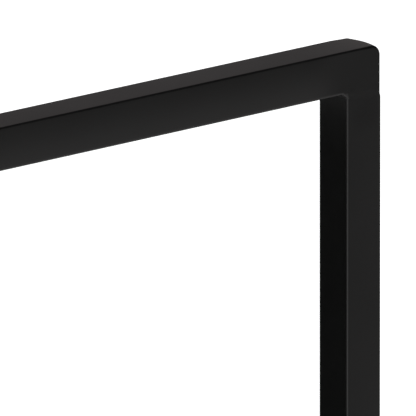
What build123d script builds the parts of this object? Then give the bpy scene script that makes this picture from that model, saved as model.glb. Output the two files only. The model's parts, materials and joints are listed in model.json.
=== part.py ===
from build123d import *
import os

# Free-standing fireplace screen: a welded frame of square steel tube, clear glass clipped behind it,
# and two flat-bar feet on rubber pads. Millimetres, X to the right, Y to the back, +Z up. The origin is
# on the floor, midway between the sides and midway between the feet's ends.

# Whole screen
screen_width = 965
screen_height = 787
foot_length = 250

# Frame tube
tube = 25
tube_wall = 2
tube_edge_radius = 1.5
bore_edge_radius = 0.5
corner_radius = 6  # outer corners, ground round
end_grind = 0.4  # the rails' ends are ground this far inside the stiles' outer faces
end_plate = 3
bead_leg = 2.5  # weld bead in each inner corner
bead_hollow = 0.4  # how far out the bead's face passes, as a share of its leg

# Feet
foot_width = 30
foot_thickness = 8
foot_corner_radius = 5
foot_edge_chamfer = 0.8
foot_pad_diameter = 20
foot_pad_height = 3
foot_pad_inset = 14  # from the foot's end to the pad's centre

# Glazing, from the tube's back face rearwards
gasket_thickness = 1.5
gasket_width = 7
gasket_setback = 1  # from the glass edge to the strip
glass_thickness = 5
glass_overlap = 10  # how far the glass runs behind each tube
glass_corner_radius = 3
glass_arris = 0.5
pad_thickness = 1

# Clips and shelves, bent from 2 mm steel
strip = 2
bend_inside = 0.5
tongue_reach = 8  # over the glass
tongue_corner_radius = 1.5
clip_length = 20
clip_gap = 1  # from the glass edge to the clip's riser
clip_base_end = 13  # from the glass edge to the end of the clip's base
clip_hole = 8.5  # from the glass edge to the screw's centre
shelf_length = 60
shelf_gap = 2
shelf_base_end = 13.5
shelf_hole = 8.8
shelf_screw_spacing = 40
shelf_offset = 300  # from the middle of the screen
top_clip_offset = 330
upper_clip_height = 520
lower_clip_height = 210
block_length = 50
pad_width = 7
pad_setback = 0.5  # from the glass edge to the pad

# M4 button-head screws in countersunk rivet nuts
m4_radius = 2.0
m4_hole_radius = 2.25
m4_head_radius = 3.8
m4_head_height = 2.2
m4_head_top_radius = 1.9
m4_head_rim = 0.3
m4_length = 10
m4_socket = 2.5  # across flats
m4_socket_depth = 1.3
nut_radius = 3.0
nut_head_radius = 3.6
nut_bulb_radius = 3.7
nut_bulb_length = 2.5
nut_length = 9
fit_gap = 0.02

# M6 countersunk screws in tapped bars inside the bottom rail
m6_radius = 3.0
m6_hole_radius = 3.3
m6_head_radius = 6.0
m6_sink_radius = 6.5
m6_length = 16
m6_socket = 4
m6_socket_depth = 2.5
m6_spacing = 15
m6_inset = 17  # from the frame's outer face to the middle of a foot's two screws
tapped_bar_thickness = 8
tapped_bar_width = 18
tapped_bar_length = 26

# Worked out from the above
half_width = screen_width / 2
back = tube / 2
frame_bottom = foot_pad_height + foot_thickness
opening_half = half_width - tube
opening_low = frame_bottom + tube
opening_high = screen_height - tube
rail_end = half_width - end_grind
tube_end = rail_end - end_plate
bore = tube - 2 * tube_wall
top_middle = screen_height - tube / 2
bottom_middle = frame_bottom + tube / 2
glass_half = opening_half + glass_overlap
glass_low = opening_low - glass_overlap
glass_high = opening_high + glass_overlap
glass_front = back + gasket_thickness
glass_back = glass_front + glass_thickness
tongue_front = glass_back - back + pad_thickness
tongue_back = tongue_front + strip
bend_outside = strip + bend_inside
foot_middle = half_width - foot_width / 2
m6_middle = half_width - m6_inset
m6_head_sink = m6_sink_radius - m6_head_radius - fit_gap

os.makedirs("parts", exist_ok=True)


def save(piece, name):
    piece.part.label = name
    export_step(piece.part, f"parts/{name}.step")


def facing_back(x, z, y=back):
    """A plane at the frame's back, its normal to the rear."""
    return Plane(origin=(x, y, z), x_dir=(1, 0, 0), z_dir=(0, 1, 0))


def facing_down(x, z):
    """A plane under a foot or the bottom rail, its normal to the floor."""
    return Plane(origin=(x, 0, z), z_dir=(0, 0, -1))


def across_edge(side, along):
    """A plane across one edge of the glass: X outwards from that edge, Y to the rear."""
    if side == "top":
        return Plane(origin=(along, back, glass_high), x_dir=(0, 0, 1), z_dir=(-1, 0, 0))
    if side == "bottom":
        return Plane(origin=(along, back, glass_low), x_dir=(0, 0, -1), z_dir=(1, 0, 0))
    if side == "right":
        return Plane(origin=(glass_half, back, along), x_dir=(1, 0, 0), z_dir=(0, 0, 1))
    return Plane(origin=(-glass_half, back, along), x_dir=(-1, 0, 0), z_dir=(0, 0, -1))


def corners_at(sketch, *points):
    """The sketch's corners nearest to the given points."""
    return [sketch.vertices().sort_by_distance((x, y, 0))[0] for x, y in points]


clip_places = {
    "top_left": ("top", -top_clip_offset),
    "top_middle": ("top", 0),
    "top_right": ("top", top_clip_offset),
    "left_upper": ("left", upper_clip_height),
    "left_lower": ("left", lower_clip_height),
    "right_upper": ("right", upper_clip_height),
    "right_lower": ("right", lower_clip_height),
}
shelf_places = {"left": -shelf_offset, "right": shelf_offset}
clip_nut_places = {
    "top": [(along, glass_high + clip_hole) for side, along in clip_places.values() if side == "top"],
    "left": [(-glass_half - clip_hole, along) for side, along in clip_places.values() if side == "left"],
    "right": [(glass_half + clip_hole, along) for side, along in clip_places.values() if side == "right"],
    "bottom": [
        (middle + sign * shelf_screw_spacing / 2, glass_low - shelf_hole)
        for middle in shelf_places.values()
        for sign in (-1, 1)
    ],
}
foot_screw_places = [
    sign * (m6_middle + step * m6_spacing / 2) for sign in (-1, 1) for step in (-1, 1)
]


def drill_nut_holes(side):
    """Countersunk holes through a tube's back wall, inside the open BuildPart."""
    with Locations(*[facing_back(x, z) for x, z in clip_nut_places[side]]):
        CounterSinkHole(
            radius=nut_radius + fit_gap,
            counter_sink_radius=nut_head_radius + fit_gap,
            depth=2 * tube_wall,
            counter_sink_angle=90,
        )


# Rails -------------------------------------------------------------------------------------------


def rail_blank(middle, outwards):
    """A solid bar as long as a finished rail, its outer corners ground round."""
    inner = middle - outwards * tube / 2
    with BuildPart() as blank:
        with BuildSketch(Plane.XZ) as outline:
            with Locations((0, middle)):
                Rectangle(2 * rail_end, tube)
            fillet(outline.vertices().group_by(Axis.Y)[-1 if outwards > 0 else 0], corner_radius)
        extrude(amount=tube / 2, both=True)
        sides = blank.faces().group_by(Axis.Y)
        rims = sides[0].edges() + sides[-1].edges()
        fillet(rims.filter_by(lambda edge: abs(edge.center().Z - inner) > 0.1), tube_edge_radius)
        with BuildSketch(Plane.YZ.offset(-opening_half)):
            for side in (-1, 1):
                with Locations((side * back, inner)):
                    Rectangle(2 * tube_edge_radius, 2 * tube_edge_radius)
                with Locations((side * (back - tube_edge_radius), inner + outwards * tube_edge_radius)):
                    Circle(tube_edge_radius, mode=Mode.SUBTRACT)
        extrude(amount=2 * opening_half, mode=Mode.SUBTRACT)
    return blank.part


for name, middle, outwards in (("top", top_middle, 1), ("bottom", bottom_middle, -1)):
    blank = rail_blank(middle, outwards)

    with BuildPart() as rail:
        add(blank)
        split(bisect_by=Plane.YZ.offset(tube_end), keep=Keep.BOTTOM)
        split(bisect_by=Plane.YZ.offset(-tube_end), keep=Keep.TOP)
        with BuildSketch(Plane.YZ.offset(-tube_end)):
            with Locations((0, middle)):
                RectangleRounded(bore, bore, bore_edge_radius)
        extrude(amount=2 * tube_end, mode=Mode.SUBTRACT)
        drill_nut_holes(name)
        if name == "bottom":
            with Locations(*[facing_down(x, frame_bottom) for x in foot_screw_places]):
                Hole(m6_hole_radius, depth=2 * tube_wall)
    save(rail, f"{name}_rail")

    for side, sign in (("left", -1), ("right", 1)):
        with BuildPart() as plate:
            add(blank)
            split(bisect_by=Plane.YZ.offset(sign * tube_end), keep=Keep.TOP if sign > 0 else Keep.BOTTOM)
        save(plate, f"{name}_{side}_end_plate")


# Stiles ------------------------------------------------------------------------------------------

for side, sign in (("left", -1), ("right", 1)):
    with BuildPart() as stile:
        with BuildSketch(Plane.XY.offset(opening_low)):
            with Locations((sign * (half_width - tube / 2), 0)):
                RectangleRounded(tube, tube, tube_edge_radius)
                RectangleRounded(bore, bore, bore_edge_radius, mode=Mode.SUBTRACT)
        extrude(amount=opening_high - opening_low)
        drill_nut_holes(side)
    save(stile, f"{side}_stile")


# Weld beads in the frame's inner corners ---------------------------------------------------------

with BuildPart() as corner_welds:
    with BuildSketch(Plane.XZ):
        for sign_x in (-1, 1):
            for corner_z, sign_z in ((opening_low, -1), (opening_high, 1)):
                corner_x = sign_x * opening_half
                with BuildLine():
                    on_stile = (corner_x, corner_z - sign_z * bead_leg)
                    on_rail = (corner_x - sign_x * bead_leg, corner_z)
                    hollow = (
                        corner_x - sign_x * bead_leg * bead_hollow,
                        corner_z - sign_z * bead_leg * bead_hollow,
                    )
                    Polyline(on_rail, (corner_x, corner_z), on_stile)
                    ThreePointArc(on_stile, hollow, on_rail)
                make_face()
    extrude(amount=back - tube_edge_radius, both=True)
save(corner_welds, "corner_welds")


# Glass and its gasket strips ---------------------------------------------------------------------

with BuildPart() as glass_panel:
    with BuildSketch(Plane.XZ.offset(-glass_front)):
        with Locations((0, (glass_low + glass_high) / 2)):
            RectangleRounded(2 * glass_half, glass_high - glass_low, glass_corner_radius)
    extrude(amount=-glass_thickness)
    rims = glass_panel.faces().group_by(Axis.Y)
    chamfer(rims[0].edges() + rims[-1].edges(), glass_arris)
save(glass_panel, "glass_panel")

strip_outside = glass_half - gasket_setback
strip_middle_low = glass_low + gasket_setback + gasket_width / 2
strip_middle_high = glass_high - gasket_setback - gasket_width / 2
strip_height = strip_middle_high - strip_middle_low - gasket_width
gasket_places = {
    "top": ((0, strip_middle_high), (2 * strip_outside, gasket_width)),
    "bottom": ((0, strip_middle_low), (2 * strip_outside, gasket_width)),
    "left": ((gasket_width / 2 - strip_outside, (glass_low + glass_high) / 2), (gasket_width, strip_height)),
    "right": ((strip_outside - gasket_width / 2, (glass_low + glass_high) / 2), (gasket_width, strip_height)),
}
for side, (middle, size) in gasket_places.items():
    with BuildPart() as gasket:
        with BuildSketch(Plane.XZ.offset(-back)):
            with Locations(middle):
                Rectangle(*size)
        extrude(amount=-gasket_thickness)
    save(gasket, f"{side}_gasket")


# Clips, shelves and what they hold ---------------------------------------------------------------


def bent_strip(place, length, gap, base_end, holes):
    """A base on the tube, a riser past the glass edge and a tongue behind the glass."""
    with BuildPart() as bent:
        with BuildSketch(place) as profile:
            with BuildLine():
                Polyline(
                    (base_end, 0),
                    (base_end, strip),
                    (gap + strip, strip),
                    (gap + strip, tongue_back),
                    (-tongue_reach, tongue_back),
                    (-tongue_reach, tongue_front),
                    (gap, tongue_front),
                    (gap, 0),
                    close=True,
                )
            make_face()
            fillet(corners_at(profile, (gap, 0), (gap + strip, tongue_back)), bend_outside)
            fillet(corners_at(profile, (gap, tongue_front), (gap + strip, strip)), bend_inside)
        extrude(amount=length / 2, both=True)
        ends = bent.edges().filter_by(Axis.Y).filter_by(lambda edge: edge.length < strip + 0.01)
        fillet(ends, tongue_corner_radius)
        with Locations(*[facing_back(x, z, back + strip) for x, z in holes]):
            Hole(m4_hole_radius, depth=2 * strip)
    return bent


def pad_block(side, along, length, inner, outer, front, rear):
    """A block on one edge of the glass, from inner to outer across it and from front to rear."""
    with BuildPart() as block:
        with BuildSketch(across_edge(side, along)):
            with Locations(((inner + outer) / 2, (front + rear) / 2)):
                Rectangle(outer - inner, rear - front)
        extrude(amount=length / 2, both=True)
    return block


pad_outer = -pad_setback
pad_inner = pad_outer - pad_width
pad_front = tongue_front - pad_thickness
block_front = glass_front - back

for name, (side, along) in clip_places.items():
    if side == "top":
        hole = (along, glass_high + clip_hole)
    else:
        hole = ((1 if side == "right" else -1) * (glass_half + clip_hole), along)
    clip = bent_strip(across_edge(side, along), clip_length, clip_gap, clip_base_end, [hole])
    save(clip, f"{name}_clip")
    pad = pad_block(side, along, clip_length - 2, pad_inner, pad_outer, pad_front, tongue_front)
    save(pad, f"{name}_clip_pad")

for name, along in shelf_places.items():
    holes = [(along + sign * shelf_screw_spacing / 2, glass_low - shelf_hole) for sign in (-1, 1)]
    shelf = bent_strip(across_edge("bottom", along), shelf_length, shelf_gap, shelf_base_end, holes)
    save(shelf, f"{name}_glass_shelf")
    block = pad_block("bottom", along, block_length, 0, shelf_gap, block_front, block_front + glass_thickness)
    save(block, f"{name}_setting_block")
    pad = pad_block("bottom", along, block_length, pad_inner, pad_outer, pad_front, tongue_front)
    save(pad, f"{name}_shelf_pad")


# Screws and rivet nuts for the clips and shelves -------------------------------------------------

with BuildPart() as m4_screw:
    with BuildSketch(Plane.XZ):
        with BuildLine():
            Polyline(
                (0, m4_head_height),
                (0, -m4_length),
                (m4_radius, -m4_length),
                (m4_radius, 0),
                (m4_head_radius, 0),
                (m4_head_radius, m4_head_rim),
            )
            RadiusArc((m4_head_radius, m4_head_rim), (m4_head_top_radius, m4_head_height), -m4_head_radius)
            Line((m4_head_top_radius, m4_head_height), (0, m4_head_height))
        make_face()
    revolve(axis=Axis.Z)
    with BuildSketch(Plane.XY.offset(m4_head_height)):
        RegularPolygon(m4_socket / 2, 6, major_radius=False)
    extrude(amount=-m4_socket_depth, mode=Mode.SUBTRACT)

clip_screw_places = clip_nut_places["top"] + clip_nut_places["left"] + clip_nut_places["right"]
for name, places in (("clip_screws", clip_screw_places), ("shelf_screws", clip_nut_places["bottom"])):
    with BuildPart() as screws:
        with Locations(*[facing_back(x, z, back + strip) for x, z in places]):
            add(m4_screw.part)
    save(screws, name)

nut_head_depth = nut_head_radius - nut_radius
with BuildPart() as rivet_nut:
    with BuildSketch(Plane.XZ):
        with BuildLine():
            Polyline(
                (m4_radius + fit_gap, 0),
                (nut_head_radius, 0),
                (nut_radius, -nut_head_depth),
                (nut_radius, -tube_wall - fit_gap),
                (nut_bulb_radius, -tube_wall - fit_gap),
                (nut_bulb_radius, -tube_wall - nut_bulb_length),
                (nut_radius, -tube_wall - nut_bulb_length - nut_head_depth),
                (nut_radius, -nut_length),
                (m4_radius + fit_gap, -nut_length),
                close=True,
            )
        make_face()
    revolve(axis=Axis.Z)

with BuildPart() as rivet_nuts:
    with Locations(*[facing_back(x, z) for places in clip_nut_places.values() for x, z in places]):
        add(rivet_nut.part)
save(rivet_nuts, "rivet_nuts")


# Feet, their pads, and the tapped bars and screws that hold them ---------------------------------

for side, sign in (("left", -1), ("right", 1)):
    with BuildPart() as foot:
        with BuildSketch(Plane.XY.offset(foot_pad_height)):
            with Locations((sign * foot_middle, 0)):
                RectangleRounded(foot_width, foot_length, foot_corner_radius)
        extrude(amount=foot_thickness)
        rims = foot.faces().group_by(Axis.Z)
        chamfer(rims[0].edges() + rims[-1].edges(), foot_edge_chamfer)
        screws_here = [x for x in foot_screw_places if x * sign > 0]
        with Locations(*[facing_down(x, foot_pad_height) for x in screws_here]):
            CounterSinkHole(m6_hole_radius, m6_sink_radius, depth=2 * foot_thickness, counter_sink_angle=90)
    save(foot, f"{side}_foot")

    for end, direction in (("front", -1), ("rear", 1)):
        with BuildPart() as foot_pad:
            with BuildSketch():
                with Locations((sign * foot_middle, direction * (foot_length / 2 - foot_pad_inset))):
                    Circle(foot_pad_diameter / 2)
            extrude(amount=foot_pad_height)
            chamfer(foot_pad.faces().sort_by(Axis.Z)[0].edges(), foot_edge_chamfer)
        save(foot_pad, f"{side}_{end}_foot_pad")

    with BuildPart() as tapped_bar:
        with BuildSketch(Plane.XY.offset(frame_bottom + tube_wall)):
            with Locations((sign * m6_middle, 0)):
                Rectangle(tapped_bar_length, tapped_bar_width)
            with Locations(*[(x, 0) for x in screws_here]):
                Circle(m6_radius + fit_gap, mode=Mode.SUBTRACT)
        extrude(amount=tapped_bar_thickness)
    save(tapped_bar, f"{side}_tapped_bar")

with BuildPart() as m6_screw:
    with BuildSketch(Plane.XZ):
        with BuildLine():
            Polyline(
                (0, 0),
                (m6_head_radius, 0),
                (m6_radius, m6_head_radius - m6_radius),
                (m6_radius, m6_length),
                (0, m6_length),
                close=True,
            )
        make_face()
    revolve(axis=Axis.Z)
    with BuildSketch(Plane.XY):
        RegularPolygon(m6_socket / 2, 6, major_radius=False)
    extrude(amount=m6_socket_depth, mode=Mode.SUBTRACT)

with BuildPart() as foot_screws:
    with Locations(*[(x, 0, foot_pad_height + m6_head_sink) for x in foot_screw_places]):
        add(m6_screw.part)
save(foot_screws, "foot_screws")
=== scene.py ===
import json
import math

import bmesh
import bpy
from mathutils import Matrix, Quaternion, Vector


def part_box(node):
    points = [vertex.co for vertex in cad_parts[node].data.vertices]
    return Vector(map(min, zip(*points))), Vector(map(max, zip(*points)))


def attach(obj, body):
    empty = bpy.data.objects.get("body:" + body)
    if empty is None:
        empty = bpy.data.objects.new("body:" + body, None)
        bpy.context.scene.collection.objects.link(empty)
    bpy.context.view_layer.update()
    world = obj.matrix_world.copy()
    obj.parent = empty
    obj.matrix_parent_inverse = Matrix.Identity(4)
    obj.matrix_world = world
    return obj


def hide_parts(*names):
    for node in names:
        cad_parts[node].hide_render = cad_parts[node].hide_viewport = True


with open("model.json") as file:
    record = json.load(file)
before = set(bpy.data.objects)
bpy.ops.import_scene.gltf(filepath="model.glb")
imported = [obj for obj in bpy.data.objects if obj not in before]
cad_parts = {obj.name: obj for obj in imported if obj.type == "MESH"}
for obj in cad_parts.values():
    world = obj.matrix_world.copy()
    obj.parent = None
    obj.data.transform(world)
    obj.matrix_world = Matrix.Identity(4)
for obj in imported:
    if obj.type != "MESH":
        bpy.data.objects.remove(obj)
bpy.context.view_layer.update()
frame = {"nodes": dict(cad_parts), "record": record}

mm = 0.001
touching = 0.002 * mm  # corners nearer than this are one corner
nodes = frame["nodes"]


# Shader graphs: a Wire is a socket that takes part in sums, a Graph adds any other node


class Wire:
    def __init__(self, graph, socket):
        self.graph = graph
        self.socket = socket

    def math(self, operation, *values):
        return self.graph.number(operation, *values)

    def __add__(self, other):
        return self.math("ADD", self, other)

    def __radd__(self, other):
        return self.math("ADD", other, self)

    def __sub__(self, other):
        return self.math("SUBTRACT", self, other)

    def __rsub__(self, other):
        return self.math("SUBTRACT", other, self)

    def __mul__(self, other):
        return self.math("MULTIPLY", self, other)

    def __rmul__(self, other):
        return self.math("MULTIPLY", other, self)

    def __truediv__(self, other):
        return self.math("DIVIDE", self, other)

    def __rtruediv__(self, other):
        return self.math("DIVIDE", other, self)

    def __neg__(self):
        return self.math("MULTIPLY", self, -1.0)

    def __abs__(self):
        return self.math("ABSOLUTE", self)

    def above(self, limit):
        return self.math("GREATER_THAN", self, limit)

    def clipped(self):
        return self.math("MINIMUM", self.math("MAXIMUM", self, 0.0), 1.0)


class Graph:
    def __init__(self, owner=None, tree=None):
        if owner:
            owner.use_nodes = True
            tree = owner.node_tree
            tree.nodes.clear()
        self.tree = tree

    def add(self, kind, settings=None, inputs=None, output=0):
        node = self.tree.nodes.new(kind)
        for name, value in (settings or {}).items():
            setattr(node, name, value)
        for key, value in (inputs or {}).items():
            if isinstance(value, Wire):
                self.tree.links.new(value.socket, node.inputs[key])
            else:
                node.inputs[key].default_value = value
        return Wire(self, node.outputs[output]) if node.outputs else None

    def number(self, operation, *values):
        return self.add("ShaderNodeMath", {"operation": operation}, dict(enumerate(values)))

    def place(self):
        return self.add("ShaderNodeTexCoord", output="Object")

    def parts(self, vector):
        split = self.add("ShaderNodeSeparateXYZ", inputs={0: vector})
        return [Wire(self, socket) for socket in split.socket.node.outputs]

    def noise(self, scale, detail=2.0, roughness=0.5, vector=None):
        return self.add(
            "ShaderNodeTexNoise",
            inputs={
                "Vector": vector or self.place(),
                "Scale": scale,
                "Detail": detail,
                "Roughness": roughness,
            },
        )

    def blend(self, share, first, second):
        return self.add(
            "ShaderNodeMix",
            {"data_type": "RGBA"},
            {0: share, 6: first, 7: second},
            output=2,
        )

    def bump(self, height, depth, strength=1.0, over=None):
        inputs = {"Height": height, "Strength": strength, "Distance": depth}
        if over:
            inputs["Normal"] = over
        return self.add("ShaderNodeBump", inputs=inputs)

    def show(self, shader, kind="ShaderNodeOutputMaterial"):
        out = self.tree.nodes.new(kind)
        self.tree.links.new(shader.socket, out.inputs["Surface"])


# The frame's key places

railLow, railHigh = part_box("top_rail")
footRailLow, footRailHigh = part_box("bottom_rail")
stileLow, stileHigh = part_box("right_stile")
middleZ = (footRailLow.z + railHigh.z) / 2
outerX = stileHigh.x
outerZ = railHigh.z - middleZ
innerX = stileLow.x
innerZ = railLow.z - middleZ
halfDepth = stileHigh.y
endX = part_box("top_right_end_plate")[1].x


# Finishes


def powderCoat():
    look = {
        "dark": (0.0010, 0.0009, 0.0009, 1),
        "pale": (0.0022, 0.0020, 0.0020, 1),
        "refraction": 1.5,
        "roughness": 0.31,
        "cloudRoughness": 0.08,
        "grainRoughness": 0.05,
        "innerCornerRoughness": 0.2,
        "cloudScale": 22.0,  # patches of darker and paler coat, in features per metre
        "peelSize": 1.6 * mm,  # orange peel
        "peelDepth": 0.006 * mm,
        "grainSize": 0.35 * mm,
        "grainDepth": 0.3,  # as a share of the peel's
        "wanderSize": 70 * mm,  # the tube walls are not quite flat
        "wanderDepth": 0.35 * mm,
        "nearInnerCorner": (0.016, 0.015, 0.015, 1),
        "innerCornerReach": 10 * mm,
        "innerCornerLap": 0.6 * mm,  # how far the paler coat comes round the edges
        # the colour of the painted highlight on top of the ground corners, then how far it reaches
        "paintedCornerHighlight": (0.027, 0.0235, 0.0225, 1),
        "highlightReach": 50 * mm,  # from the frame's end
        "highlightLap": 3 * mm,  # down over the ground corner
        "highlightMargin": 0.7 * mm,  # left dark along the front and rear edges
        "weldReach": 7 * mm,
        "weldSize": 5 * mm,
        "weldDepth": 0.1 * mm,
    }
    material = bpy.data.materials.new("satinPowderCoat")
    graph = Graph(material)
    peel = graph.noise(1 / look["peelSize"])
    grain = graph.noise(1 / look["grainSize"], detail=3.0, roughness=0.6)
    cloud = graph.noise(look["cloudScale"], detail=3.0, roughness=0.55)
    wander = graph.noise(1 / look["wanderSize"], detail=1.0)
    x, y, z = graph.parts(graph.place())
    acrossGap = innerX - abs(x)  # how far inside the opening, below zero on the tubes
    upGap = innerZ - abs(z - middleZ)
    # the coat is paler, rougher and grainier towards the inner corners
    inside = acrossGap.above(-look["innerCornerLap"]) * upGap.above(-look["innerCornerLap"])
    away = acrossGap.clipped() + upGap.clipped()
    nearInnerCorner = inside * graph.number("EXPONENT", -away / look["innerCornerReach"]) * (cloud + 0.5)
    colour = graph.blend(cloud, look["dark"], look["pale"])
    colour = graph.blend(nearInnerCorner.clipped(), colour, look["nearInnerCorner"])
    # painted highlight: the top of each ground corner is made paler, in patches, where the light catches
    # it
    onTop = (1 - (upGap + outerZ - innerZ) / look["highlightLap"]).clipped()
    offEdges = ((halfDepth - look["highlightMargin"] - abs(y)) / look["highlightMargin"]).clipped()
    nearEnd = ((abs(x) - (endX - look["highlightReach"])) / look["highlightReach"]).clipped()
    paintedCornerHighlight = onTop * offEdges * nearEnd * nearEnd * (cloud + 0.5)
    colour = graph.blend(paintedCornerHighlight.clipped(), colour, look["paintedCornerHighlight"])
    roughness = look["roughness"] + (cloud - 0.5) * look["cloudRoughness"]
    roughness = roughness + (grain - 0.5) * look["grainRoughness"] + nearInnerCorner * look["innerCornerRoughness"]
    waves = graph.bump(wander, look["wanderDepth"])
    # the ground welds show through the coat as a slight unevenness
    onSeam = (1 - acrossGap.above(0.0)) * graph.number("EXPONENT", -abs(upGap) / look["weldReach"])
    dressed = graph.noise(1 / look["weldSize"])
    waves = graph.bump(dressed * onSeam, look["weldDepth"], over=waves)
    texture = peel + grain * look["grainDepth"] + nearInnerCorner * grain
    graph.show(
        graph.add(
            "ShaderNodeBsdfPrincipled",
            inputs={
                "Base Color": colour,
                "Roughness": roughness,
                "Normal": graph.bump(texture, look["peelDepth"], over=waves),
                "IOR": look["refraction"],
            },
        )
    )
    return material


def clearGlass():
    low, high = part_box("glass_panel")
    look = {
        "face": (0.985, 0.995, 0.99, 1),
        "edge": (0.25, 0.62, 0.48, 1),
        "edgeDepth": 0.8 * mm,
        "edgeRoughness": 0.22,
        "smearScale": 9.0,
        "smearRoughness": 0.012,
        "refraction": 1.52,
        "seenThrough": (0.93, 0.955, 0.945, 1),
    }
    material = bpy.data.materials.new("clearTemperedGlass")
    graph = Graph(material)
    x, y, z = graph.parts(graph.place())
    across = abs(x) - (high.x - look["edgeDepth"])
    up = abs(z - (low.z + high.z) / 2) - ((high.z - low.z) / 2 - look["edgeDepth"])
    atEdge = across.math("MAXIMUM", across.above(0.0), up.above(0.0))
    smear = graph.noise(look["smearScale"], detail=4.0, roughness=0.6)
    colour = graph.blend(atEdge, look["face"], look["edge"])
    roughness = atEdge * look["edgeRoughness"] + smear * look["smearRoughness"]
    glass = graph.add(
        "ShaderNodeBsdfPrincipled",
        inputs={
            "Base Color": colour,
            "Roughness": roughness,
            "IOR": look["refraction"],
            "Transmission Weight": 1.0,
        },
    )
    # only the eye sees the glass shine: to light and to reflections it is plain and clear
    rays = graph.add("ShaderNodeLightPath", output="Is Shadow Ray")
    sockets = rays.socket.node.outputs
    bounces = Wire(graph, sockets["Diffuse Depth"]) + Wire(graph, sockets["Glossy Depth"])
    passing = rays.math("MAXIMUM", rays, bounces.above(0.5))
    clear = graph.add("ShaderNodeBsdfTransparent", inputs={"Color": look["seenThrough"]})
    graph.show(graph.add("ShaderNodeMixShader", inputs={0: passing, 1: glass, 2: clear}))
    return material


def rubber(name, dark, pale, roughness, grainSize):
    look = {
        "bloomScale": 60.0,
        "grainRoughness": 0.2,
        "reliefStrength": 0.6,
        "reliefDepth": 0.02 * mm,
    }
    material = bpy.data.materials.new(name)
    graph = Graph(material)
    grain = graph.noise(1 / grainSize, detail=4.0, roughness=0.6)
    bloom = graph.noise(look["bloomScale"], detail=3.0)
    graph.show(
        graph.add(
            "ShaderNodeBsdfPrincipled",
            inputs={
                "Base Color": graph.blend(bloom, dark, pale),
                "Roughness": roughness + (grain - 0.5) * look["grainRoughness"],
                "Normal": graph.bump(grain, look["reliefDepth"], look["reliefStrength"]),
            },
        )
    )
    return material


def metal(name, dark, pale, roughness, lineScale):
    look = {
        "blotchScale": 400.0,
        "lineRoughness": 0.15,
        "reliefStrength": 0.3,
        "reliefDepth": 0.005 * mm,
    }
    material = bpy.data.materials.new(name)
    graph = Graph(material)
    blotch = graph.noise(look["blotchScale"], detail=3.0)
    lines = graph.noise(lineScale, roughness=0.7)
    graph.show(
        graph.add(
            "ShaderNodeBsdfPrincipled",
            inputs={
                "Base Color": graph.blend(blotch, dark, pale),
                "Roughness": roughness + (lines - 0.5) * look["lineRoughness"],
                "Normal": graph.bump(lines, look["reliefDepth"], look["reliefStrength"]),
                "Metallic": 1.0,
            },
        )
    )
    return material


finishes = {
    "powder_coat": powderCoat(),
    "clear_glass": clearGlass(),
    "gasket_rubber": rubber(
        "gasketRubber",
        dark=(0.008, 0.008, 0.008, 1),
        pale=(0.016, 0.016, 0.016, 1),
        roughness=0.7,
        grainSize=0.3 * mm,
    ),
    "pad_rubber": rubber(
        "padRubber",
        dark=(0.012, 0.012, 0.012, 1),
        pale=(0.03, 0.029, 0.028, 1),
        roughness=0.85,
        grainSize=0.25 * mm,
    ),
    "screw_steel": metal(
        "blackOxideSteel",
        dark=(0.03, 0.03, 0.033, 1),
        pale=(0.07, 0.07, 0.075, 1),
        roughness=0.38,
        lineScale=2500.0,
    ),
    "plated_steel": metal(
        "platedSteel",
        dark=(0.42, 0.42, 0.40, 1),
        pale=(0.62, 0.62, 0.60, 1),
        roughness=0.3,
        lineScale=1800.0,
    ),
}
slotOf = {row["node"]: row["material_slot"] for row in frame["record"]["subparts"]}
for name, node in nodes.items():
    for slot in node.material_slots:
        slot.material = finishes[slotOf[name]]
print("finishes made")


# Meshes


sharpAngle = math.radians(32)  # edges sharper than this stay crisp


def settle(name, mesh, replaced):
    slotName = slotOf[replaced[0]]
    mesh.materials.clear()
    mesh.materials.append(finishes[slotName])
    mesh.shade_smooth()
    mesh.set_sharp_from_angle(angle=sharpAngle)
    piece = bpy.data.objects.new(name, mesh)
    bpy.context.collection.objects.link(piece)
    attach(piece, "root")
    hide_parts(*replaced)
    return piece


def meshFrom(bm, name):
    mesh = bpy.data.meshes.new(name)
    bm.to_mesh(mesh)
    bm.free()
    return mesh


# The welded frame: one section carried round the four members, then parted at the seams

weldment = {
    "edgeRadius": 1.5 * mm,
    "outerEdgeRadius": 0.9 * mm,
    "beadEdgeRadius": 1.0 * mm,
    "cornerRadius": 6.2 * mm,
    "endBulge": 0.9 * mm,  # how much the ground corner swells between its front and rear
    "groundFrontRadius": 1.2 * mm,  # the edges are rolled over where the corner is ground
    "groundRearRadius": 2.4 * mm,
    "groundLength": 11 * mm,
    "faceCrown": 0.28 * mm,  # how much the front and rear swell between their edges
    "rimCrown": 0.06 * mm,  # the same for the other two sides of a tube
    "crownFade": 22 * mm,  # from the ground corner to the full swell
    "railLean": 0.45 * mm,  # the welds turn a rail a little, its inner front edge back
    "beadOnRail": 3.4 * mm,
    "beadOnStile": 2.6 * mm,
    "beadFill": 0.7,  # 0 is a hollow bead, 1 a flat one
    "stepBelow": 4 * mm,  # from the seam down to where the grinding ends
    "stepLength": 1.6 * mm,
    "partBelow": 0.1 * mm,  # the parting plane's distance from the rails' inner faces
    "edgeSteps": 6,
    "faceSteps": (0.02, 0.08, 0.2, 0.35, 0.5, 0.65, 0.8, 0.92, 0.98),
    "railStations": 44,
    "stileStations": 56,
    "cornerSteps": (6, 16, 7),  # the rail's end, the ground corner, the stile's top
}


def smooth(value):
    value = min(max(value, 0.0), 1.0)
    return value * value * (3 - 2 * value)


def outline(z):
    # the outer face's X: the rail's ground end, then the stile's full size below the step
    end = innerZ - weldment["stepBelow"]
    return outerX - (outerX - endX) * smooth((z - end) / weldment["stepLength"] + 0.5)


def groundAt(z):
    # how far the edges are rolled over: fully on the ground end, not at all below the step
    end = innerZ - weldment["stepBelow"]
    return smooth((z - end) / (2 * weldment["stepLength"]) + 0.5)


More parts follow.
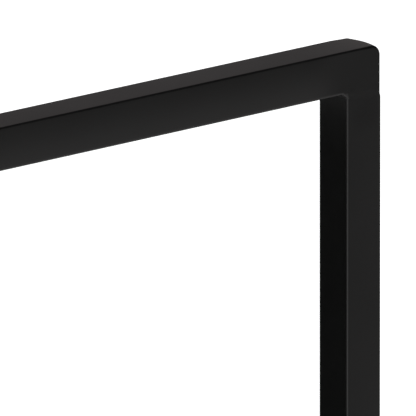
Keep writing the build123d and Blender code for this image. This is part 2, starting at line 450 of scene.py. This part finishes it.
def station(inner, intoMetal, outer, inwards, **shape):
    # a place along the frame: its two rims in X and Z, and how much of each shape it takes
    return dict(
        {"swell": 0, "ground": 0, "bulge": 0, "lean": 0, "bead": 0},
        inner=inner,
        intoMetal=intoMetal,
        outer=outer,
        inwards=inwards,
        **shape,
    )


def railStations():
    # from the middle of a rail to the corner, closer together towards it
    startX = innerX - weldment["beadOnRail"]
    endOfFlat = endX - weldment["cornerRadius"]
    stations = []
    for step in range(weldment["railStations"], 0, -1):
        away = startX * (step / weldment["railStations"]) ** 2
        x = startX - away
        stations.append(
            station(
                (x, innerZ),
                (0, 1),
                (x, outerZ),
                (0, -1),
                swell=smooth(away / weldment["crownFade"]),
                ground=1 - smooth((endOfFlat - x) / weldment["groundLength"]),
                lean=1,
            )
        )
    return stations


def cornerOuter(index):
    # the outer rim at one step round the corner, and the way into the metal there
    alongRail, roundCorner, downStile = weldment["cornerSteps"]
    radius = weldment["cornerRadius"]
    startX = innerX - weldment["beadOnRail"]
    startZ = innerZ - weldment["beadOnStile"]
    if index <= alongRail:
        share = index / alongRail
        return (startX + (endX - radius - startX) * share, outerZ), (0, -1)
    if index <= alongRail + roundCorner:
        turn = math.pi / 2 * (1 - (index - alongRail) / roundCorner)
        inwards = (-math.cos(turn), -math.sin(turn))
        return (endX - radius - radius * inwards[0], outerZ - radius - radius * inwards[1]), inwards
    share = (index - alongRail - roundCorner) / downStile
    z = outerZ - radius + (startZ - outerZ + radius) * share
    return (outline(z), z), (-1, 0)


def cornerStations():
    # round the ground corner outside and the weld bead inside
    alongRail, roundCorner, downStile = weldment["cornerSteps"]
    total = alongRail + roundCorner + downStile
    beadX, beadZ = weldment["beadOnRail"], weldment["beadOnStile"]
    fill = weldment["beadFill"]
    endOfFlat = endX - weldment["cornerRadius"]
    stations = []
    for index in range(total + 1):
        outer, inwards = cornerOuter(index)
        share = index / total
        turn = share * math.pi / 2
        hollow = (innerX - beadX + beadX * math.sin(turn), innerZ - beadZ + beadZ * math.cos(turn))
        flat = (innerX - beadX + beadX * share, innerZ - beadZ * share)
        if index > alongRail + roundCorner:
            ground = groundAt(outer[1])
        else:
            ground = 1 - smooth((endOfFlat - outer[0]) / weldment["groundLength"])
        stations.append(
            station(
                tuple(h + (f - h) * fill for h, f in zip(hollow, flat)),
                (math.sin(turn), math.cos(turn)),
                outer,
                inwards,
                ground=ground,
                bulge=weldment["endBulge"] * (2 * inwards[0] * inwards[1]) ** 2,
                bead=math.sin(share * math.pi),
            )
        )
    return stations


def stileStations():
    # from the corner to the middle of a stile
    startZ = innerZ - weldment["beadOnStile"]
    stations = []
    for step in range(1, weldment["stileStations"] + 1):
        away = startZ * (step / weldment["stileStations"]) ** 2
        z = startZ - away
        stations.append(
            station(
                (innerX, z),
                (1, 0),
                (outline(z), z),
                (-1, 0),
                swell=smooth(away / weldment["crownFade"]),
                ground=groundAt(z),
            )
        )
    return stations


def offset(point, normal, depth):
    return (point[0] + normal[0] * depth, point[1] + normal[1] * depth)


def section(place):
    # the tube's outline at a station, once round: sides are -1 at the front and 1 at the rear
    inner, intoMetal = place["inner"], place["intoMetal"]
    outer, inwards = place["outer"], place["inwards"]
    swell = place["swell"]
    lean = weldment["railLean"] * swell * place["lean"]
    plain = weldment["edgeRadius"]
    outerPlain = weldment["outerEdgeRadius"]
    outerRadius = {
        -1: outerPlain + (weldment["groundFrontRadius"] - outerPlain) * place["ground"],
        1: outerPlain + (weldment["groundRearRadius"] - outerPlain) * place["ground"],
    }
    innerRadius = {-1: plain + (weldment["beadEdgeRadius"] - plain) * place["bead"], 1: plain}
    faceCrown = weldment["faceCrown"]
    rimCrown = weldment["rimCrown"]
    steps = weldment["edgeSteps"]

    def sink(crown, across):
        return crown * (1 - swell * (1 - (2 * across - 1) ** 2))

    def edge(point, normal, radii, side, rising, back=0):
        radius = radii[side]
        flat = halfDepth - faceCrown - radius - back
        points = []
        for step in range(steps + 1):
            turn = math.pi / 2 * step / steps
            x, z = offset(point, normal, rimCrown + radius * (1 - math.sin(turn)))
            points.append((x, side * (flat + radius * math.cos(turn)), z))
        return points[::-1] if rising else points

    def face(side, forwards):
        start = offset(inner, intoMetal, rimCrown + innerRadius[side])
        end = offset(outer, inwards, rimCrown + outerRadius[side])
        points = []
        for across in weldment["faceSteps"]:
            x = start[0] + (end[0] - start[0]) * across
            z = start[1] + (end[1] - start[1]) * across
            back = sink(faceCrown, across)
            if side < 0:
                back += lean * (0.5 - across)
            points.append((x, side * (halfDepth - back), z))
        return points if forwards else points[::-1]

    def rim(point, normal, radii, swelling, rearwards, back=0):
        front = faceCrown + radii[-1] - halfDepth + back
        rear = halfDepth - faceCrown - radii[1]
        points = []
        for across in weldment["faceSteps"]:
            arch = swelling * (1 - (2 * across - 1) ** 2)
            x, z = offset(point, normal, sink(rimCrown, across) - arch)
            points.append((x, front + (rear - front) * across, z))
        return points if rearwards else points[::-1]

    return (
        edge(inner, intoMetal, innerRadius, -1, True, lean / 2)
        + face(-1, True)
        + edge(outer, inwards, outerRadius, -1, False, -lean / 2)
        + rim(outer, inwards, outerRadius, place["bulge"], True, -lean / 2)
        + edge(outer, inwards, outerRadius, 1, True)
        + face(1, False)
        + edge(inner, intoMetal, innerRadius, 1, False)
        + rim(inner, intoMetal, innerRadius, 0, False, lean / 2)
    )


def weldedFrame():
    # a quarter from the middle of the top rail to the middle of a stile, and its three mirrors
    quarter = [section(place) for place in railStations() + cornerStations() + stileStations()]

    def mirrored(signX, signZ):
        return [[(signX * x, y, signZ * z) for x, y, z in loop] for loop in quarter]

    loops = (
        quarter
        + mirrored(1, -1)[::-1][1:]
        + mirrored(-1, -1)[1:]
        + mirrored(-1, 1)[::-1][1:-1]
    )
    bm = bmesh.new()
    rings = [[bm.verts.new((x, y, z + middleZ)) for x, y, z in loop] for loop in loops]
    for ring, nextRing in zip(rings, rings[1:] + rings[:1]):
        for index in range(len(ring)):
            after = (index + 1) % len(ring)
            bm.faces.new((ring[index], ring[after], nextRing[after], nextRing[index]))
    bmesh.ops.recalc_face_normals(bm, faces=bm.faces)
    return bm


def member(name, whole, low, high, side, replaced):
    # the part of the frame between two heights, on one side of the middle unless side is 0
    bm = whole.copy()
    for height, keepAbove in ((low, True), (high, False)):
        if height is None:
            continue
        normal = (0, 0, -1) if keepAbove else (0, 0, 1)
        cut = bmesh.ops.bisect_plane(
            bm,
            geom=bm.verts[:] + bm.edges[:] + bm.faces[:],
            plane_co=(0, 0, height),
            plane_no=normal,
            clear_outer=True,
        )
        edges = [item for item in cut["geom_cut"] if isinstance(item, bmesh.types.BMEdge)]
        bmesh.ops.edgeloop_fill(bm, edges=edges)
    if side:
        bmesh.ops.delete(bm, geom=[v for v in bm.verts if v.co.x * side < 0], context="VERTS")
    bmesh.ops.recalc_face_normals(bm, faces=bm.faces)
    return settle(name, meshFrom(bm, name), replaced)


wholeFrame = weldedFrame()
seamHigh = railLow.z - weldment["partBelow"]
seamLow = footRailHigh.z + weldment["partBelow"]
member(
    "coated_top_rail", wholeFrame, seamHigh, None, 0,
    ["top_rail", "top_left_end_plate", "top_right_end_plate"],
)
member(
    "coated_bottom_rail", wholeFrame, None, seamLow, 0,
    ["bottom_rail", "bottom_left_end_plate", "bottom_right_end_plate", "corner_welds"],
)
member("coated_left_stile", wholeFrame, seamLow, seamHigh, -1, ["left_stile"])
member("coated_right_stile", wholeFrame, seamLow, seamHigh, 1, ["right_stile"])
wholeFrame.free()
print("welded frame made")


# Small pressed, cut and moulded pieces: the CAD solid with its edges eased


easingRule = {
    "segments": 2,
    "sharperThan": math.radians(40),
    "flatWithin": math.radians(0.6),
}
# how far each kind of piece has its edges eased, by the ending of its name
easings = {
    "_clip": 0.25 * mm,
    "_glass_shelf": 0.25 * mm,
    "_foot": 0.3 * mm,
    "_clip_pad": 0.12 * mm,
    "_shelf_pad": 0.12 * mm,
    "_setting_block": 0.2 * mm,
    "_foot_pad": 0.3 * mm,
}


def eased(node, easing):
    bm = bmesh.new()
    bm.from_mesh(nodes[node].data)
    bmesh.ops.remove_doubles(bm, verts=bm.verts, dist=touching)
    bmesh.ops.dissolve_limit(
        bm, angle_limit=easingRule["flatWithin"], verts=bm.verts, edges=bm.edges
    )
    piece = settle(f"eased_{node}", meshFrom(bm, node), [node])
    bevel = piece.modifiers.new("easedEdges", "BEVEL")
    bevel.width = easing
    bevel.segments = easingRule["segments"]
    bevel.limit_method = "ANGLE"
    bevel.angle_limit = easingRule["sharperThan"]
    bevel.harden_normals = True


for name in sorted(nodes):
    ending = max((end for end in easings if name.endswith(end)), key=len, default=None)
    if ending:
        eased(name, easings[ending])
print("small pieces eased")


# Screws: a socket head turned once, then set out on the places where the CAD has its screws


smallScrew = {
    "headRadius": 3.8 * mm,
    "headHeight": 2.2 * mm,
    "socket": 2.5 * mm,
    "socketDepth": 1.3 * mm,
    "crest": 1.3,  # the flat round the socket, as a multiple of the socket's half width
    "domeTurn": math.radians(82),
    "domeSteps": 8,
    "rim": 0.15 * mm,
    "shank": 1.98 * mm,
    "tip": 0.45 * mm,
    "turn": math.radians(30),  # the most that a screw stops short of or past straight
}
footScrew = {
    "headRadius": 6 * mm,
    "headHeight": 3.4 * mm,
    "socket": 4 * mm,
    "socketDepth": 2.5 * mm,
    "rim": 0.2 * mm,
    "land": 0.5 * mm,  # the head's edge, above its cone
    "shank": 2.98 * mm,
    "tip": 0.6 * mm,
    "turn": math.radians(30),
}
turnedSides = 48


def lathe(rings):
    # rings of (radius, z, flatsAcross): flatsAcross above zero draws a hexagon
    bm = bmesh.new()
    loops = []
    for radius, z, flats in rings:
        loop = []
        for side in range(turnedSides):
            turn = 2 * math.pi * side / turnedSides
            reach = radius
            if flats:
                reach = flats / 2 / math.cos((turn + math.pi / 6) % (math.pi / 3) - math.pi / 6)
            loop.append(bm.verts.new((reach * math.cos(turn), reach * math.sin(turn), z)))
        loops.append(loop)
    for loop, nextLoop in zip(loops, loops[1:]):
        for side in range(turnedSides):
            after = (side + 1) % turnedSides
            bm.faces.new((loop[side], loop[after], nextLoop[after], nextLoop[side]))
    bm.faces.new(loops[0])
    bm.faces.new(loops[-1])
    bmesh.ops.recalc_face_normals(bm, faces=bm.faces)
    return bm


def socketRings(sizes):
    # from the floor of the socket to its chamfered mouth; z is zero on top
    flats, rim = sizes["socket"], sizes["rim"]
    return [(0, -sizes["socketDepth"], flats), (0, -rim, flats), (0, 0, flats + 2 * rim)]


def shankRings(sizes):
    shank, tip, length = sizes["shank"], sizes["tip"], sizes["length"]
    return [(shank, -sizes["headHeight"], 0), (shank, tip - length, 0), (shank - tip, -length, 0)]


def buttonHead(sizes):
    radius, height, rim = sizes["headRadius"], sizes["headHeight"], sizes["rim"]
    crest = sizes["socket"] / 2 * sizes["crest"]
    dome = [(crest, 0, 0)]
    for step in range(1, sizes["domeSteps"] + 1):
        turn = sizes["domeTurn"] * step / sizes["domeSteps"]
        across = crest + (radius - crest) * math.sin(turn) / math.sin(sizes["domeTurn"])
        dome.append((across, -(height - rim * 2) * (1 - math.cos(turn)), 0))
    dome += [(radius, -height + rim, 0), (radius - rim, -height, 0)]
    return socketRings(sizes) + dome + shankRings(sizes)


def sunkHead(sizes):
    radius, rim = sizes["headRadius"], sizes["rim"]
    top = [(radius - rim, 0, 0), (radius, -rim, 0), (radius, -sizes["land"], 0)]
    return socketRings(sizes) + top + shankRings(sizes)


def islands(node):
    # the lowest and highest corner of each separate solid in a CAD node
    bm = bmesh.new()
    bm.from_mesh(nodes[node].data)
    bmesh.ops.remove_doubles(bm, verts=bm.verts, dist=touching)
    left = set(bm.verts)
    boxes = []
    while left:
        front = [left.pop()]
        found = []
        while front:
            vert = front.pop()
            found.append(vert.co.copy())
            for edge in vert.link_edges:
                other = edge.other_vert(vert)
                if other in left:
                    left.remove(other)
                    front.append(other)
        boxes.append((
            Vector([min(co[axis] for co in found) for axis in range(3)]),
            Vector([max(co[axis] for co in found) for axis in range(3)]),
        ))
    bm.free()
    return sorted(boxes, key=lambda box: tuple(box[0]))


def newTree(name, sockets):
    tree = bpy.data.node_groups.new(name, "GeometryNodeTree")
    for socket, kind in {"Geometry": "Geometry", **sockets}.items():
        tree.interface.new_socket(socket, in_out="INPUT", socket_type=f"NodeSocket{kind}")
    tree.interface.new_socket("Geometry", in_out="OUTPUT", socket_type="NodeSocketGeometry")
    graph = Graph(tree=tree)
    outputs = graph.add("NodeGroupInput").socket.node.outputs
    return tree, graph, {socket.name: Wire(graph, socket) for socket in outputs}


def setOutTree():
    # copies one template to every point of the input mesh, each with its own turn
    tree, graph, given = newTree("setOut", {
        "Template": "Object",
        "Least Turn": "Vector",
        "Largest Turn": "Vector",
        "Seed": "Int",
        "Finish": "Material",
    })
    template = graph.add("GeometryNodeObjectInfo", inputs={"Object": given["Template"]}, output="Geometry")
    turn = graph.add(
        "FunctionNodeRandomValue",
        {"data_type": "FLOAT_VECTOR"},
        {0: given["Least Turn"], 1: given["Largest Turn"], 8: given["Seed"]},
    )
    copies = graph.add(
        "GeometryNodeInstanceOnPoints",
        inputs={"Points": given["Geometry"], "Instance": template, "Rotation": turn},
    )
    real = graph.add("GeometryNodeRealizeInstances", inputs={0: copies})
    coated = graph.add(
        "GeometryNodeSetMaterial", inputs={"Geometry": real, "Material": given["Finish"]}
    )
    graph.add("NodeGroupOutput", inputs={0: coated})
    return tree


def grown(name, base, tree, settings):
    # what a tree makes of a base mesh, as a plain mesh; the helpers are cleared away
    holder = bpy.data.objects.new(name, base)
    bpy.context.collection.objects.link(holder)
    modifier = holder.modifiers.new(tree.name, "NODES")
    modifier.node_group = tree
    for item in tree.interface.items_tree:
        if item.in_out == "INPUT" and item.name in settings:
            modifier[item.identifier] = settings[item.name]
    seen = bpy.context.evaluated_depsgraph_get()
    mesh = bpy.data.meshes.new_from_object(holder.evaluated_get(seen))
    holder.modifiers.remove(modifier)
    bpy.data.objects.remove(holder)
    return mesh


def screws(node, head, sizes, axis, facing, seed):
    # the heads face along the axis, forwards where facing is 1 and backwards where it is -1
    low, high = islands(node)[0]
    sizes = dict(sizes, length=high[axis] - low[axis])
    bm = lathe(head(sizes))
    up = Vector([facing if index == axis else 0 for index in range(3)])
    bmesh.ops.rotate(bm, verts=bm.verts, matrix=up.to_track_quat("Z", "Y").to_matrix())
    template = bpy.data.objects.new("template", meshFrom(bm, "template"))
    points = bmesh.new()
    for low, high in islands(node):
        spot = (low + high) / 2
        spot[axis] = high[axis] if facing > 0 else low[axis]
        points.verts.new(spot)
    turn = up * sizes["turn"]
    mesh = grown(
        node,
        meshFrom(points, node),
        setOut,
        {
            "Template": template,
            "Least Turn": -turn,
            "Largest Turn": turn,
            "Seed": seed,
            "Finish": finishes[slotOf[node]],
        },
    )
    bpy.data.objects.remove(template)
    settle(f"socket_{node}", mesh, [node])


setOut = setOutTree()
screws("clip_screws", buttonHead, smallScrew, axis=1, facing=1, seed=3)
screws("shelf_screws", buttonHead, smallScrew, axis=1, facing=1, seed=5)
screws("foot_screws", sunkHead, footScrew, axis=2, facing=-1, seed=8)
print("screws set out")


# Gaskets: a ribbed section drawn along each side of the glass

gasket = {"ribs": 3, "stepsPerRib": 8, "grooveDepth": 0.55 * mm, "spacing": 12 * mm}


def drawnTree():
    # a section, given as an object's closed outline, drawn along the input's edges
    tree, graph, given = newTree("drawnStrip", {
        "Section": "Object",
        "Spacing": "Float",
        "Finish": "Material",
    })
    section = graph.add("GeometryNodeObjectInfo", inputs={"Object": given["Section"]}, output="Geometry")
    outline = graph.add("GeometryNodeMeshToCurve", inputs={0: section})
    path = graph.add("GeometryNodeMeshToCurve", inputs={0: given["Geometry"]})
    path = graph.add(
        "GeometryNodeResampleCurve",
        {"mode": "LENGTH"},
        {"Curve": path, "Length": given["Spacing"]},
    )
    strip = graph.add(
        "GeometryNodeCurveToMesh", inputs={0: path, 1: outline, "Fill Caps": True}
    )
    real = graph.add("GeometryNodeRealizeInstances", inputs={0: strip})
    coated = graph.add(
        "GeometryNodeSetMaterial", inputs={"Geometry": real, "Material": given["Finish"]}
    )
    graph.add("NodeGroupOutput", inputs={0: coated})
    return tree


def gasketOutline(width, height):
    # flat where it is glued to the frame, ribbed where the glass rests
    bm = bmesh.new()
    steps = gasket["stepsPerRib"] * gasket["ribs"]
    points = [(width / 2, 0), (-width / 2, 0)]
    for step in range(steps + 1):
        share = step / steps
        wave = (1 - math.cos(2 * math.pi * gasket["ribs"] * share)) / 2
        points.append((width * (share - 0.5), height - gasket["grooveDepth"] * (1 - wave)))
    verts = [bm.verts.new((x, y, 0)) for x, y in points]
    for vert, after in zip(verts, verts[1:] + verts[:1]):
        bm.edges.new((vert, after))
    return meshFrom(bm, "gasketOutline")


def gasketStrip(node):
    low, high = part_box(node)
    size = high - low
    upright = size.z > size.x
    length = size.z if upright else size.x
    outline = bpy.data.objects.new(
        "gasketOutline", gasketOutline(size.x if upright else size.z, size.y)
    )
    line = bmesh.new()
    line.edges.new((line.verts.new((0, 0, 0)), line.verts.new((0, 0, length))))
    mesh = grown(
        node,
        meshFrom(line, node),
        drawn,
        {"Section": outline, "Spacing": gasket["spacing"], "Finish": finishes[slotOf[node]]},
    )
    bpy.data.objects.remove(outline)
    bm = bmesh.new()
    bm.from_mesh(mesh)
    if not upright:
        quarter = Quaternion((0, 1, 0), math.pi / 2).to_matrix()
        bmesh.ops.rotate(bm, verts=bm.verts, matrix=quarter)
    middle = (low + high) / 2
    start = (middle.x, low.y, low.z) if upright else (low.x, low.y, middle.z)
    bmesh.ops.translate(bm, verts=bm.verts, vec=start)
    bmesh.ops.remove_doubles(bm, verts=bm.verts, dist=touching)
    bmesh.ops.recalc_face_normals(bm, faces=bm.faces)
    settle(f"ribbed_{node}", meshFrom(bm, node), [node])


drawn = drawnTree()
for name in sorted(nodes):
    if name.endswith("_gasket"):
        gasketStrip(name)
print("gaskets drawn")


# Stage


def floor():
    look = {
        "size": 160.0,
        "colour": (0.86, 0.86, 0.86, 1),
        "washFrom": 0.8,  # painted light: the floor glows brighter beyond the object, from here
        "washFull": 2.3,  # to here
        "wash": (0.46, 0.46, 0.46, 1),
    }
    bm = bmesh.new()
    bmesh.ops.create_grid(bm, x_segments=1, y_segments=1, size=look["size"] / 2)
    ground = bpy.data.objects.new("paleFloor", meshFrom(bm, "paleFloor"))
    bpy.context.collection.objects.link(ground)
    material = bpy.data.materials.new("paleFloor")
    graph = Graph(material)
    # reflections pass through it, and so does a look from below
    depth = graph.add("ShaderNodeLightPath", output="Glossy Depth")
    below = graph.add("ShaderNodeNewGeometry", output="Backfacing")
    passing = depth.math("MAXIMUM", depth.above(0.5), below)
    card = graph.add("ShaderNodeBsdfDiffuse", inputs={"Color": look["colour"]})
    unseen = graph.add("ShaderNodeBsdfTransparent")
    x, y, z = graph.parts(graph.place())
    # painted light: the floor's emission grows with the distance from the object
    away = graph.number("SQRT", x * x + y * y)
    rise = ((away - look["washFrom"]) / (look["washFull"] - look["washFrom"])).clipped()
    glow = graph.blend(rise * rise * (3 - 2 * rise), (0, 0, 0, 1), look["wash"])
    wash = graph.add("ShaderNodeEmission", inputs={"Color": glow})
    lit = graph.add("ShaderNodeAddShader", inputs={0: card, 1: wash})
    graph.show(graph.add("ShaderNodeMixShader", inputs={0: passing, 1: lit, 2: unseen}))
    ground.data.materials.append(material)


def studio():
    world = bpy.data.worlds.new("softStudio")
    bpy.context.scene.world = world
    world.cycles.sampling_method = "NONE"
    look = {
        "seen": (1.25, 1.25, 1.25, 1),
        "scattered": (0.95, 0.95, 0.95, 1),
        "base": (0.025, 0.025, 0.025, 1),
        "ground": (0.67, 0.66, 0.655, 1),  # the lit ground in front, as the shine sees it
        "groundEdge": (-0.298, 0.055),  # where it begins below the eye's level, and how softly
        "groundRear": (0.15, 0.12),
    }
    # cards that the shine sees: direction, sharpness, colour
    cards = (
        ((-0.66, -0.70, -0.26), 14.0, (1.15, 1.15, 1.15)),
        ((0.63, 0.73, 0.26), 6.0, (0.135, 0.122, 0.122)),
        ((0.40, 0.80, -0.45), 8.0, (0.28, 0.28, 0.28)),
        ((0.63, -0.26, 0.73), 4.0, (0.045, 0.045, 0.045)),
    )
    graph = Graph(world)
    rays = graph.add("ShaderNodeLightPath", output="Glossy Depth")
    scattered = Wire(graph, rays.socket.node.outputs["Diffuse Depth"])
    way = graph.add("ShaderNodeTexCoord", output="Generated")
    x, y, z = graph.parts(way)
    below = 1 / (1 + graph.number("EXPONENT", (z - look["groundEdge"][0]) / look["groundEdge"][1]))
    ahead = 1 / (1 + graph.number("EXPONENT", (y - look["groundRear"][0]) / look["groundRear"][1]))
    shine = graph.blend(below * ahead, look["base"], look["ground"])
    for direction, sharpness, colour in cards:
        facing = graph.add(
            "ShaderNodeVectorMath",
            {"operation": "DOT_PRODUCT"},
            {0: way, 1: Vector(direction).normalized()},
            output="Value",
        )
        glow = graph.number("EXPONENT", (facing - 1) * sharpness)
        lit = graph.blend(glow, (0, 0, 0, 1), (*colour, 1))
        shine = graph.add(
            "ShaderNodeMix",
            {"data_type": "RGBA", "blend_type": "ADD"},
            {0: 1.0, 6: shine, 7: lit},
            output=2,
        )
    seen = graph.blend(scattered.above(0.5), look["seen"], look["scattered"])
    colour = graph.blend(rays.above(0.5), seen, shine)
    graph.show(
        graph.add("ShaderNodeBackground", inputs={"Color": colour}), "ShaderNodeOutputWorld"
    )


def softLight():
    look = {"size": 3.0, "power": 20.0, "place": (-0.8, -1.0, 3.2), "aim": (0, 0, 0.4)}
    data = bpy.data.lights.new("overheadPanel", "AREA")
    data.shape = "SQUARE"
    data.size = look["size"]
    data.energy = look["power"]
    lamp = bpy.data.objects.new("overheadPanel", data)
    lamp.location = look["place"]
    aim = Vector(look["aim"]) - lamp.location
    lamp.rotation_euler = aim.to_track_quat("-Z", "Y").to_euler()
    lamp.visible_glossy = False
    lamp.visible_camera = False
    lamp.visible_transmission = False
    bpy.context.collection.objects.link(lamp)


def camera():
    look = {
        "azimuth": -40.59,
        "elevation": 15.28,
        "roll": -0.13,
        "distance": 7.176,
        "lens": 1122.0,
        "reach": 400.0,
        "aimInside": 116.82 * mm,  # from the outer face to the point in the middle of the view
        "aimBelow": 76.33 * mm,
    }
    a, e = math.radians(look["azimuth"]), math.radians(look["elevation"])
    back = Vector((math.sin(a) * math.cos(e), -math.cos(a) * math.cos(e), math.sin(e)))
    aim = Vector((outerX - look["aimInside"], 0, railHigh.z - look["aimBelow"]))
    data = bpy.data.cameras.new("camera")
    data.lens = look["lens"]
    data.clip_end = look["reach"]
    seer = bpy.data.objects.new("camera", data)
    seer.location = aim + back * look["distance"]
    seer.rotation_mode = "QUATERNION"
    roll = Quaternion((0, 0, 1), math.radians(look["roll"]))
    seer.rotation_quaternion = (-back).to_track_quat("-Z", "Y") @ roll
    bpy.context.collection.objects.link(seer)
    bpy.context.scene.camera = seer


floor()
studio()
softLight()
camera()
bpy.context.scene.view_settings.view_transform = "Standard"
print("stage set")
